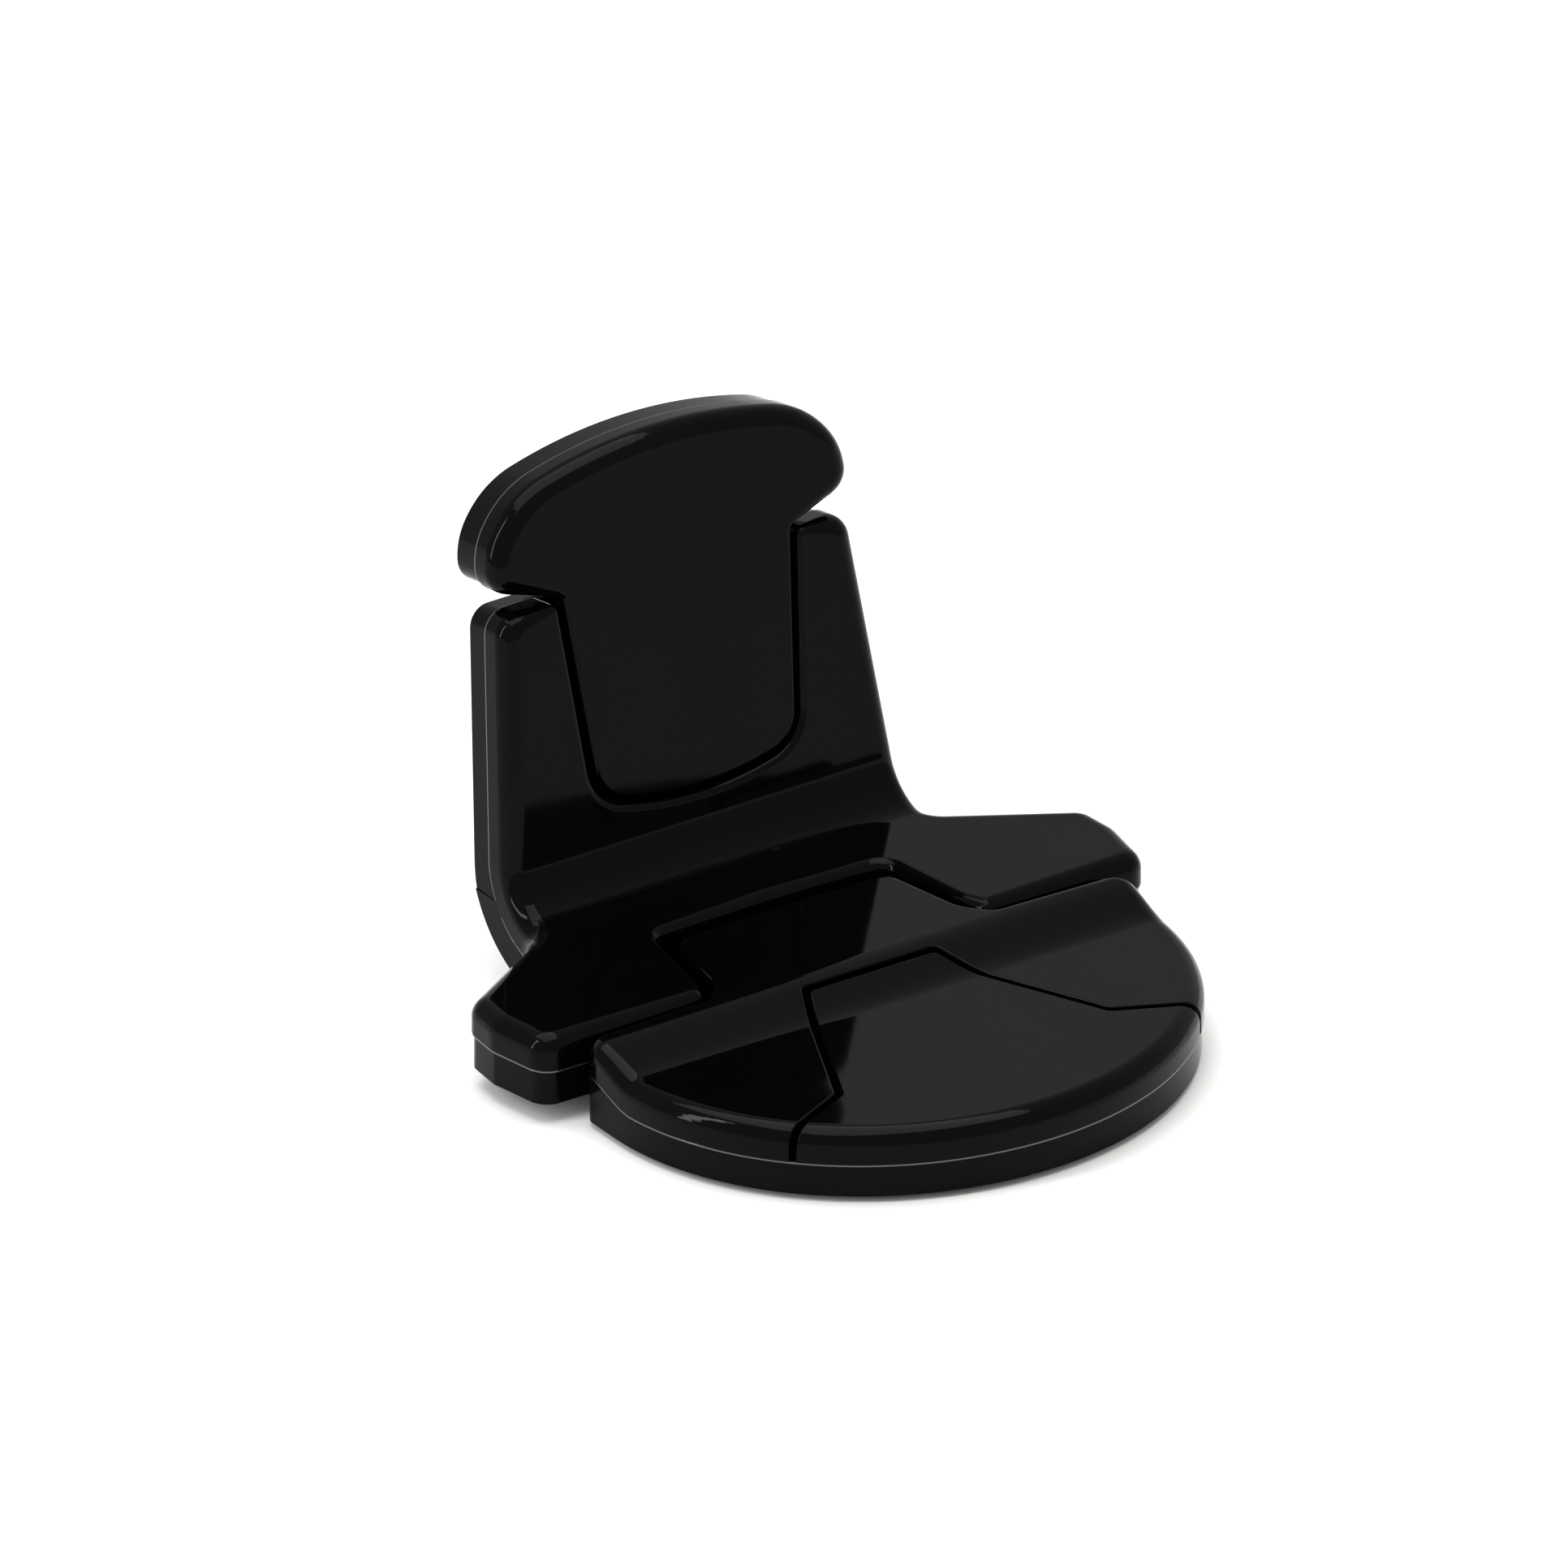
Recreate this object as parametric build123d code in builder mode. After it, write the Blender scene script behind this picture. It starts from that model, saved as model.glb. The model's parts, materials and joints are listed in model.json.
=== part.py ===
"""Desk stand for a phone, shaped like a small legless chair.

A fixed L-shaped base carries a head that slides up along the reclined back, and a D-shaped
front tray that slides forward on a steel base plate. Frame: +Z up, the front faces -Y, and the
origin is on the desk at the middle of the stand's footprint.
"""
import math
import os

from build123d import *

# ---------------------------------------------------------------- driving dimensions, mm
RECLINE = 10.0          # lean of the back from vertical, degrees
WING_LINE_Y = 13.27     # Y of the plan datum: distances "ahead" are counted forward from it
SEAT_Z = 13.3           # top of the fixed seat
COVER = 5.0             # thickness of every cover
BACK_LINE = -18.3       # where the back's front face meets the seat plane, ahead of the datum

SHELL_SEAT = 5.2        # shell depth under the seat's cover
SHELL_BACK = 4.2        # shell depth behind the back's cover
SHELL_HEAD = 4.9        # shell depth behind the head's cover
SHELL_INSET = 0.4       # a shell's outline inside its cover's rim
WALL = 1.5              # moulded wall
FLOOR = 1.2             # moulded floor
INNER_RADIUS = 7.2      # concave bend between seat and back

WING_HALF = 51.3        # half-width over the seat wings
WING_FRONT = 14.9       # front edge of the wings
BEND_HALF = 32.4        # half-width of the back at the seat plane
BACK_TAPER = 0.095      # half-width lost per mm up the back
SHOULDER_H = 41.6       # top of the fixed back, measured up the recline

HEAD_TOP_H = 61.7       # crown of the head
HEAD_HALF = 29.2        # half-width over the head's lobes
HEAD_LOW_H = 42.3       # underside of the head beside its tongue
CROWN_R = 76.0          # radius of the head's crown
TONGUE_LOW_H = 10.2     # lower end of the head's tongue
TONGUE_COVER = 3.0        # cover thickness over the tongue
TONGUE_HALF = 18.7      # half-width of the tongue where it leaves the head
TONGUE_FOOT = 16.3      # half-width above its lower corners
TONGUE_R = 50.0         # radius of its lower edge
NOTCH_GAP = 0.9         # gap between the tongue and the notch in the back

TRAY_HALF = 44.4        # half-width of the D-shaped tray
TRAY_FRONT = 65.1       # front of the tray
TRAY_SHOULDER = 16.1    # rear edge of the tray beside its tongue
TRAY_REAR = -1.1        # rear edge of the tray's tongue
TRAY_DROP = 2.4         # the tray's front level lies this far below the seat
RAMP_START = 17.3       # ramp between the tray's two levels
RAMP_END = 28.3
TRAY_BOTTOM = 1.0       # skirt's clearance over the desk
GROOVE = 1.0            # gap between the tray's two covers
DECK_TOP = 7.7          # deck under the tray's covers
DECK = 1.6
RIM_WEB_LOW = 4.6       # underside of the web that joins the skirt to the deck

PLATE_HALF = 21.5       # steel base plate
PLATE_BACK = -9.8
PLATE_FRONT = 52.0
PLATE_TOP = SEAT_Z - COVER - SHELL_SEAT
PLATE = 1.5

HEAD_TRAVEL = 12.0
TRAY_TRAVEL = 10.0
PIN_R = 1.2
SLOT_CLEARANCE = 0.15

FELT_GAP = 0.05         # running gap over a felt friction strip
HEAD_PIN_H = 33.0       # height of the pin that limits the head
TRAY_PIN_AHEAD = 47.0   # place of the pin that limits the tray
CARRIAGE_REAR = 4.9     # depth of the head carriage's rear face behind the back's front face
CARRIAGE_SKIN = 1.5     # thickness of the tray carriage under its screw heads
CARRIAGE_LIFT = 0.4     # the tray carriage runs this far above the plate
BACK_RAIL_X = 14.6      # half-spacing of the head's rails
SEAT_RAIL_X = 19.5      # half-spacing of the tray's rails

back_y = WING_LINE_Y - BACK_LINE
lean = math.radians(RECLINE)
back_plane = Plane(
    origin=(0, back_y, SEAT_Z),
    x_dir=(1, 0, 0),
    z_dir=(0, -math.cos(lean), math.sin(lean)),
)


def ahead(distance):
    """Y of a point that lies this far forward of the plan datum."""
    return WING_LINE_Y - distance


# ---------------------------------------------------------------- outlines
def seat_plan(inset=0.0):
    """Plan of the fixed seat: the foot of the back, flaring into two wings."""
    with BuildSketch() as plan:
        with BuildLine():
            FilletPolyline(
                (0, ahead(BACK_LINE - 16)),
                (BEND_HALF, ahead(BACK_LINE - 16)),
                (BEND_HALF, ahead(-12.5)),
                (WING_HALF - 0.6, ahead(-1.6)),
                (WING_HALF, ahead(5.0)),
                (WING_HALF - 1.8, ahead(WING_FRONT)),
                (0, ahead(WING_FRONT)),
                radius=3.4,
            )
            mirror(about=Plane.YZ)
        make_face()
        if inset > 0:
            offset(amount=-inset)
    return plan.sketch


def seat_notch_plan(grow=0.0):
    """Plan of the opening between the wings, which the tray's tongue fills."""
    with BuildSketch() as plan:
        with BuildLine():
            FilletPolyline(
                (0, ahead(-4.5)),
                (18.9, ahead(-3.7)),
                (21.5, ahead(11.0)),
                (24.0, ahead(WING_FRONT + 3)),
                (0, ahead(WING_FRONT + 3)),
                radius=2.4,
            )
            mirror(about=Plane.YZ)
        make_face()
        if grow > 0:
            offset(amount=grow)
    return plan.sketch


def back_outline(inset=0.0):
    """Outline of the fixed back in its own plane, x across and y up the recline."""
    foot = -16.0
    with BuildSketch() as outline:
        with BuildLine():
            FilletPolyline(
                (0, foot),
                (BEND_HALF, foot),
                (BEND_HALF, 0),
                (BEND_HALF - BACK_TAPER * SHOULDER_H, SHOULDER_H),
                (0, SHOULDER_H),
                radius=3.6,
            )
            mirror(about=Plane.YZ)
        make_face()
        if inset > 0:
            offset(amount=-inset)
    return outline.sketch


def tongue_outline(grow=0.0, top=HEAD_LOW_H + 2):
    """Tapered tongue of the head; grown, it is the notch in the back."""
    with BuildSketch() as outline:
        with BuildLine():
            low = CenterArc((0, TONGUE_LOW_H + TONGUE_R), TONGUE_R, -90, 14)
            corner = TangentArc(low @ 1, (TONGUE_FOOT, TONGUE_LOW_H + 6.35), tangent=low % 1)
            Polyline(corner @ 1, (TONGUE_HALF, HEAD_LOW_H), (TONGUE_HALF, top), (0, top))
            mirror(about=Plane.YZ)
        make_face()
        if grow > 0:
            offset(amount=grow)
    return outline.sketch


def head_outline(inset=0.0):
    """Crowned head with two round lobes, without its tongue."""
    with BuildSketch() as outline:
        with BuildLine():
            crown = CenterArc((0, HEAD_TOP_H - CROWN_R), CROWN_R, 90, -14.5)
            turn = TangentArc(crown @ 1, (HEAD_HALF - 1.9, HEAD_TOP_H - 8.1), tangent=crown % 1)
            side = TangentArc(turn @ 1, (HEAD_HALF, HEAD_TOP_H - 13.5), tangent=turn % 1)
            lobe = TangentArc(side @ 1, (HEAD_HALF - 3.0, HEAD_LOW_H + 1.9), tangent=side % 1)
            Polyline(lobe @ 1, (TONGUE_HALF, HEAD_LOW_H), (0, HEAD_LOW_H))
            mirror(about=Plane.YZ)
        make_face()
        if inset > 0:
            offset(amount=-inset)
    return outline.sketch


def tray_plan(inset=0.0):
    """D-shaped plan of the front tray with the tongue at its rear."""
    with BuildSketch() as plan:
        with BuildLine():
            FilletPolyline(
                (0, ahead(TRAY_REAR)),
                (17.6, ahead(TRAY_REAR + 0.4)),
                (20.2, ahead(13.0)),
                (23.5, ahead(TRAY_SHOULDER)),
                (TRAY_HALF, ahead(TRAY_SHOULDER)),
                (TRAY_HALF, ahead(24.0)),
                radius=2.4,
            )
            side = TangentArc((TRAY_HALF, ahead(24.0)), (32.7, ahead(52.0)), tangent=(0, -1))
            corner = TangentArc(side @ 1, (16.0, ahead(62.4)), tangent=side % 1)
            TangentArc(corner @ 1, (0, ahead(TRAY_FRONT)), tangent=corner % 1)
            mirror(about=Plane.YZ)
        make_face()
        if inset > 0:
            offset(amount=-inset)
    return plan.sketch


def insert_plan(grow=0.0):
    """Plan of the tray's front cover, running past the tray's front edge."""
    with BuildSketch() as plan:
        with BuildLine():
            FilletPolyline(
                (0, ahead(20.7)),
                (10.6, ahead(20.7)),
                (22.2, ahead(45.9)),
                (40.0, ahead(54.4)),
                (40.0, ahead(TRAY_FRONT + 5)),
                (0, ahead(TRAY_FRONT + 5)),
                radius=1.2,
            )
            mirror(about=Plane.YZ)
        make_face()
        if grow != 0:
            offset(amount=grow)
    return plan.sketch


# ---------------------------------------------------------------- side profiles
def bend_corner(seat_depth, back_depth):
    """Corner where a line under the seat meets a line behind the back, as (y, z)."""
    climb = (back_depth * math.sin(lean) - seat_depth) / math.cos(lean)
    y = back_y + back_depth * math.cos(lean) + climb * math.sin(lean)
    return (y, SEAT_Z - seat_depth)


def back_point(height, depth):
    """Point up the back and behind its front face, as (y, z)."""
    y = back_y + height * math.sin(lean) + depth * math.cos(lean)
    z = SEAT_Z + height * math.cos(lean) - depth * math.sin(lean)
    return (y, z)


def bent_side(seat_top, seat_low, back_front, back_rear, top_h):
    """Side view of an L-shaped layer between two depths under the seat and behind the back."""
    nose = ahead(WING_FRONT + 2)
    with BuildSketch() as side:
        with BuildLine():
            upper = FilletPolyline(
                (nose, SEAT_Z - seat_top),
                bend_corner(seat_top, back_front),
                back_point(top_h, back_front),
                radius=INNER_RADIUS + seat_top,
            )
            lower = FilletPolyline(
                (nose, SEAT_Z - seat_low),
                bend_corner(seat_low, back_rear),
                back_point(top_h, back_rear),
                radius=INNER_RADIUS + seat_low,
            )
            Line(upper @ 0, lower @ 0)
            Line(upper @ 1, lower @ 1)
        make_face()
    return side.sketch


def tray_side(level, low):
    """Side view of a tray layer: its top follows the ramp, its underside is flat at low."""
    with BuildSketch() as side:
        with BuildLine():
            Polyline(
                (ahead(TRAY_REAR - 2), level),
                (ahead(RAMP_START), level),
                (ahead(RAMP_END), level - TRAY_DROP),
                (ahead(TRAY_FRONT + 2), level - TRAY_DROP),
                (ahead(TRAY_FRONT + 2), low),
                (ahead(TRAY_REAR - 2), low),
                close=True,
            )
        make_face()
    return side.sketch


def lower_envelope(inset):
    """Everything inside the outlines of the fixed seat and back."""
    with BuildPart() as envelope:
        with BuildSketch(Plane.XY):
            add(seat_plan(inset))
        extrude(amount=SEAT_Z + 0.4)
        with BuildSketch(back_plane.offset(INNER_RADIUS + 1)):
            add(back_outline(inset))
        extrude(amount=-INNER_RADIUS - 16)
    return envelope.part


# ---------------------------------------------------------------- fixings
SCREW_R = 1.0
SCREW_HEAD_R = 1.9
SCREW_HEAD = 1.0

COVER_SCREWS_SEAT = [(x, ahead(f)) for x in (-38.0, 38.0) for f in (0.0, 9.0)]
COVER_SCREWS_BACK = [(x, h) for x in (-24.0, 24.0) for h in (6.0, 31.0)]
RAIL_SCREWS_BACK = [(x, h) for x in (-BACK_RAIL_X, BACK_RAIL_X) for h in (21.0, 35.0)]
PLATE_SCREWS = [(x, ahead(-7.4)) for x in (-16.5, -5.5, 5.5, 16.5)]
RAIL_SCREWS_SEAT = [(x, ahead(f)) for x in (-SEAT_RAIL_X, SEAT_RAIL_X) for f in (34.0, 48.0)]
HEAD_SCREWS = [(-8.0, 50.0), (8.0, 50.0), (0.0, 45.5)]
TRAY_SCREWS = [(x, ahead(f)) for x in (-12.0, 12.0) for f in (30.5, 53.5)]


def screws(name, plane, places, length):
    """Countersunk screws whose heads are flush with the plane and which run along its normal."""
    with BuildPart() as group:
        with BuildSketch(plane) as heads:
            with Locations(*places):
                Circle(SCREW_HEAD_R)
        extrude(amount=SCREW_HEAD, taper=42)
        with BuildSketch(plane.offset(SCREW_HEAD / 2)) as shanks:
            with Locations(*places):
                Circle(SCREW_R)
        extrude(amount=length - SCREW_HEAD / 2)
        with BuildSketch(plane) as recesses:
            with Locations(*places):
                RegularPolygon(0.75, 6)
        extrude(amount=0.6, mode=Mode.SUBTRACT)
    group.part.label = name
    return group.part


def screw_holes(plane, places, length, clearance=0.08):
    """The space of such screws, for cutting the parts that they pass through."""
    with BuildPart() as holes:
        with BuildSketch(plane):
            with Locations(*places):
                Circle(SCREW_HEAD_R + clearance)
        extrude(amount=SCREW_HEAD + clearance, taper=40)
        with BuildSketch(plane):
            with Locations(*places):
                Circle(SCREW_R + clearance)
        extrude(amount=length + 0.3)
    return holes.part


seat_under = Plane.XY.offset(PLATE_TOP)
back_rear = Plane(
    origin=back_plane.offset(-COVER - SHELL_BACK).origin,
    x_dir=(1, 0, 0),
    z_dir=back_plane.z_dir,
)
plate_under = Plane.XY.offset(PLATE_TOP - PLATE)
head_rear = back_plane.offset(-COVER - SHELL_HEAD)
deck_under = Plane.XY.offset(DECK_TOP - DECK - CARRIAGE_SKIN)


# ---------------------------------------------------------------- fixed base
def make_lower_cover():
    with BuildPart() as lower_cover:
        with BuildSketch(Plane.YZ):
            add(bent_side(0, COVER, 0, COVER, SHOULDER_H + 2))
        extrude(amount=WING_HALF + 2, both=True)
        add(lower_envelope(0), mode=Mode.INTERSECT)
        with BuildSketch(Plane.XY):
            add(seat_notch_plan())
        extrude(amount=SEAT_Z + 1, mode=Mode.SUBTRACT)
        with BuildSketch(back_plane.offset(1)):
            add(tongue_outline(NOTCH_GAP, SHOULDER_H + 3))
        extrude(amount=-COVER - 1.5, mode=Mode.SUBTRACT)
        add(screw_holes(seat_under, COVER_SCREWS_SEAT, 7.6), mode=Mode.SUBTRACT)
        add(screw_holes(back_rear, COVER_SCREWS_BACK, 5.6), mode=Mode.SUBTRACT)
    return lower_cover


def make_lower_shell():
    with BuildPart() as cavity:
        with BuildSketch(Plane.YZ):
            add(bent_side(COVER - 1, COVER + SHELL_SEAT - FLOOR, COVER - 1, COVER + SHELL_BACK - FLOOR, SHOULDER_H))
        extrude(amount=WING_HALF + 2, both=True)
        add(lower_envelope(SHELL_INSET + WALL), mode=Mode.INTERSECT)
        with BuildSketch(Plane.XY):
            add(seat_notch_plan(WALL))
        extrude(amount=SEAT_Z + 1, mode=Mode.SUBTRACT)
        with BuildSketch(seat_under):
            with Locations(*COVER_SCREWS_SEAT, *PLATE_SCREWS):
                Circle(2.6)
        extrude(amount=SHELL_SEAT, mode=Mode.SUBTRACT)
        with BuildSketch(back_rear):
            with Locations(*COVER_SCREWS_BACK):
                Circle(2.6)
        extrude(amount=SHELL_BACK, mode=Mode.SUBTRACT)

    with BuildPart() as lower_shell:
        with BuildSketch(Plane.YZ):
            add(bent_side(COVER, COVER + SHELL_SEAT, COVER, COVER + SHELL_BACK, SHOULDER_H + 2))
        extrude(amount=WING_HALF + 2, both=True)
        add(lower_envelope(SHELL_INSET), mode=Mode.INTERSECT)
        with BuildSketch(Plane.XY):
            add(seat_notch_plan())
        extrude(amount=SEAT_Z + 1, mode=Mode.SUBTRACT)
        add(cavity.part, mode=Mode.SUBTRACT)
        add(screw_holes(seat_under, COVER_SCREWS_SEAT, 7.6), mode=Mode.SUBTRACT)
        add(screw_holes(back_rear, COVER_SCREWS_BACK, 5.6), mode=Mode.SUBTRACT)
        add(screw_holes(back_rear, RAIL_SCREWS_BACK, 4.0), mode=Mode.SUBTRACT)
        add(screw_holes(plate_under, PLATE_SCREWS, 5.5), mode=Mode.SUBTRACT)
    return lower_shell


def make_back_rail(side):
    """Guide rail for the head's carriage, screwed to the shell's rear wall."""
    floor = back_plane.offset(-COVER - SHELL_BACK + FLOOR)
    with BuildPart() as rail:
        with BuildSketch(floor):
            with Locations((side * BACK_RAIL_X, 28.0)):
                RectangleRounded(2.4, 21.0, 0.6)
        extrude(amount=COVER + SHELL_BACK - FLOOR - TONGUE_COVER - 0.4)
        add(screw_holes(back_rear, RAIL_SCREWS_BACK, 4.0), mode=Mode.SUBTRACT)
    return rail


def make_back_stop_pin():
    """Pin in the carriage's slot, which ends the head's travel."""
    floor = back_plane.offset(-COVER - SHELL_BACK + FLOOR)
    with BuildPart() as pin:
        with BuildSketch(floor):
            with Locations((0, HEAD_PIN_H)):
                Circle(PIN_R)
        extrude(amount=COVER + SHELL_BACK - FLOOR - TONGUE_COVER - 0.2)
        with BuildSketch(floor):
            with Locations((0, HEAD_PIN_H)):
                Circle(PIN_R * 1.8)
        extrude(amount=1.4)
        chamfer(pin.faces().sort_by(SortBy.DISTANCE, reverse=True).first.edges(), 0.15)
    return pin


def make_back_friction_felt():
    """Two felt strips that press the carriage, so the head stays where it is put."""
    floor = back_plane.offset(-COVER - SHELL_BACK + FLOOR)
    with BuildPart() as strips:
        with BuildSketch(floor):
            with Locations((-7.5, 24.0), (7.5, 24.0)):
                RectangleRounded(4.0, 14.0, 1.0)
        extrude(amount=COVER + SHELL_BACK - FLOOR - CARRIAGE_REAR - FELT_GAP)
    return strips


def make_base_plate():
    """Steel plate: ballast, and the track that the tray runs on."""
    length = PLATE_FRONT - PLATE_BACK
    with BuildPart() as plate:
        with BuildSketch(plate_under):
            with Locations((0, ahead((PLATE_FRONT + PLATE_BACK) / 2))):
                RectangleRounded(2 * PLATE_HALF, length, 4.0)
        extrude(amount=PLATE)
        add(screw_holes(plate_under, PLATE_SCREWS, 5.5), mode=Mode.SUBTRACT)
        add(screw_holes(plate_under, RAIL_SCREWS_SEAT, 3.4), mode=Mode.SUBTRACT)
    return plate


def make_seat_rail(side):
    """Guide rail for the tray's carriage, on the base plate."""
    with BuildPart() as rail:
        with BuildSketch(seat_under):
            with Locations((side * SEAT_RAIL_X, ahead(41.0))):
                RectangleRounded(3.0, 22.0, 0.6)
        extrude(amount=2.5)
        add(screw_holes(plate_under, RAIL_SCREWS_SEAT, 3.4), mode=Mode.SUBTRACT)
    return rail


def make_seat_stop_pin():
    """Pin in the tray carriage's slot, which ends the tray's travel."""
    with BuildPart() as pin:
        with BuildSketch(seat_under):
            with Locations((0, ahead(TRAY_PIN_AHEAD))):
                Circle(PIN_R)
        extrude(amount=2.7)
        chamfer(pin.faces().sort_by(Axis.Z).last.edges(), 0.15)
    return pin


def make_seat_friction_felt():
    """Two felt strips under the tray's carriage."""
    with BuildPart() as strips:
        with BuildSketch(seat_under):
            with Locations((-9.0, ahead(42.0)), (9.0, ahead(42.0))):
                RectangleRounded(4.0, 12.0, 1.0)
        extrude(amount=CARRIAGE_LIFT - FELT_GAP)
    return strips


FEET = {
    "foot_rear_left": (-29.0, -6.2, PLATE_TOP, 3.6),
    "foot_rear_right": (29.0, -6.2, PLATE_TOP, 3.6),
    "foot_wing_left": (-38.0, 4.5, PLATE_TOP, 3.2),
    "foot_wing_right": (38.0, 4.5, PLATE_TOP, 3.2),
    "foot_front_left": (-15.0, 41.0, PLATE_TOP - PLATE, 3.6),
    "foot_front_right": (15.0, 41.0, PLATE_TOP - PLATE, 3.6),
}


def make_foot(x, forward, height, radius):
    """Round rubber foot from the desk up to the face that it is stuck to."""
    with BuildPart() as foot:
        with BuildSketch(Plane.XY):
            with Locations((x, ahead(forward))):
                Circle(radius)
        extrude(amount=height)
        fillet(foot.faces().sort_by(Axis.Z).first.edges(), 0.4)
    return foot


# ---------------------------------------------------------------- sliding head
def make_head_cover():
    with BuildPart() as head_cover:
        with BuildSketch(back_plane.offset(-COVER)):
            add(head_outline())
            add(tongue_outline(0, HEAD_LOW_H + 6))
        extrude(amount=COVER)
        with BuildSketch(back_plane.offset(-COVER)):
            with Locations((0, (TONGUE_LOW_H + HEAD_LOW_H) / 2 - 1)):
                Rectangle(2 * HEAD_HALF, HEAD_LOW_H - TONGUE_LOW_H + 2)
            with Locations((0, HEAD_LOW_H + 5.5)):
                Rectangle(27.0, 13.0)
        extrude(amount=COVER - TONGUE_COVER, mode=Mode.SUBTRACT)
        add(screw_holes(head_rear, HEAD_SCREWS, 7.6), mode=Mode.SUBTRACT)
    return head_cover


def make_head_shell():
    with BuildPart() as head_shell:
        with BuildSketch(head_rear):
            add(head_outline(SHELL_INSET))
        extrude(amount=SHELL_HEAD)
        with BuildSketch(head_rear.offset(FLOOR)):
            add(head_outline(SHELL_INSET + WALL))
            with Locations(*HEAD_SCREWS):
                Circle(2.6, mode=Mode.SUBTRACT)
        extrude(amount=SHELL_HEAD, mode=Mode.SUBTRACT)
        add(screw_holes(head_rear, HEAD_SCREWS, 7.6), mode=Mode.SUBTRACT)
    return head_shell


def make_head_carriage():
    """Plate that carries the head down between the rails, with the slot of the stop pin."""
    front = back_plane.offset(-TONGUE_COVER - 0.1)
    with BuildPart() as carriage:
        with BuildSketch(front):
            with Locations((0, 33.5)):
                RectangleRounded(26.6, 41.0, 2.0)
            with Locations((0, HEAD_PIN_H - HEAD_TRAVEL / 2)):
                SlotCenterToCenter(
                    HEAD_TRAVEL,
                    2 * (PIN_R + SLOT_CLEARANCE),
                    rotation=90,
                    mode=Mode.SUBTRACT,
                )
        extrude(amount=-(CARRIAGE_REAR - TONGUE_COVER - 0.1))
        add(screw_holes(head_rear, HEAD_SCREWS, 7.6), mode=Mode.SUBTRACT)
    return carriage


# ---------------------------------------------------------------- sliding tray
def tray_block(level, low, inset):
    """Tray layer between its ramped top and a flat underside."""
    with BuildPart() as block:
        with BuildSketch(Plane.YZ):
            add(tray_side(level, low))
        extrude(amount=TRAY_HALF + 2, both=True)
        with BuildSketch(Plane.XY):
            add(tray_plan(inset))
        extrude(amount=SEAT_Z + 2, mode=Mode.INTERSECT)
    return block.part


def tray_cover_space():
    """Space of both tray covers: over the skirt's rim and over the deck."""
    with BuildPart() as space:
        add(tray_block(SEAT_Z, TRAY_BOTTOM, 0))
        add(tray_block(SEAT_Z - COVER, 0, 0), mode=Mode.SUBTRACT)
        with BuildSketch(Plane.XY):
            add(tray_plan(3.0))
        extrude(amount=DECK_TOP, mode=Mode.SUBTRACT)
        add(
            screw_holes(deck_under, TRAY_SCREWS, 4.0),
            mode=Mode.SUBTRACT,
        )
    return space.part


def make_tray_rear_cover():
    with BuildPart() as tray_rear_cover:
        add(tray_cover_space())
        with BuildSketch(Plane.XY):
            add(insert_plan(GROOVE / 2))
        extrude(amount=SEAT_Z + 2, mode=Mode.SUBTRACT)
    return tray_rear_cover


def make_tray_front_cover():
    with BuildPart() as tray_front_cover:
        add(tray_cover_space())
        with BuildSketch(Plane.XY):
            add(insert_plan(-GROOVE / 2))
        extrude(amount=SEAT_Z + 2, mode=Mode.INTERSECT)
    return tray_front_cover


def make_tray_shell():
    """Skirt and deck of the tray, open below and cut away over the base plate."""
    with BuildPart() as tray_shell:
        add(tray_block(SEAT_Z - COVER, TRAY_BOTTOM, SHELL_INSET))
        with BuildSketch(Plane.XY.offset(TRAY_BOTTOM)):
            add(tray_plan(3.2))
        extrude(amount=DECK_TOP - TRAY_BOTTOM)
        with BuildSketch(Plane.XY):
            add(tray_plan(SHELL_INSET + WALL))
        extrude(amount=RIM_WEB_LOW, mode=Mode.SUBTRACT)
        with BuildSketch(Plane.XY):
            add(tray_plan(4.8))
        extrude(amount=DECK_TOP - DECK, mode=Mode.SUBTRACT)
        with BuildSketch(Plane.XY):
            with Locations((0, ahead(10.0))):
                Rectangle(2 * PLATE_HALF + 3.0, 26.0)
        extrude(amount=PLATE_TOP + 0.3, mode=Mode.SUBTRACT)
        add(
            screw_holes(deck_under, TRAY_SCREWS, 4.0),
            mode=Mode.SUBTRACT,
        )
    return tray_shell


def make_tray_carriage():
    """Runner between the seat rails, fixed under the deck, with the slot of the stop pin."""
    low = PLATE_TOP + CARRIAGE_LIFT
    with BuildPart() as carriage:
        with BuildSketch(Plane.XY.offset(low)):
            with Locations((0, ahead(42.0))):
                RectangleRounded(35.7, 28.0, 2.0)
            with Locations((0, ahead(TRAY_PIN_AHEAD - TRAY_TRAVEL / 2))):
                SlotCenterToCenter(
                    TRAY_TRAVEL,
                    2 * (PIN_R + SLOT_CLEARANCE),
                    rotation=90,
                    mode=Mode.SUBTRACT,
                )
        extrude(amount=DECK_TOP - DECK - low)
        add(
            screw_holes(deck_under, TRAY_SCREWS, 4.0),
            mode=Mode.SUBTRACT,
        )
        with BuildSketch(Plane.XY.offset(low)):
            with Locations(*TRAY_SCREWS):
                Circle(SCREW_HEAD_R + 0.1)
        extrude(amount=DECK_TOP - DECK - CARRIAGE_SKIN - low, mode=Mode.SUBTRACT)
    return carriage


# ---------------------------------------------------------------- writing the parts
def write(part, name):
    part.label = name
    export_step(part, f"parts/{name}.step")


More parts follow.
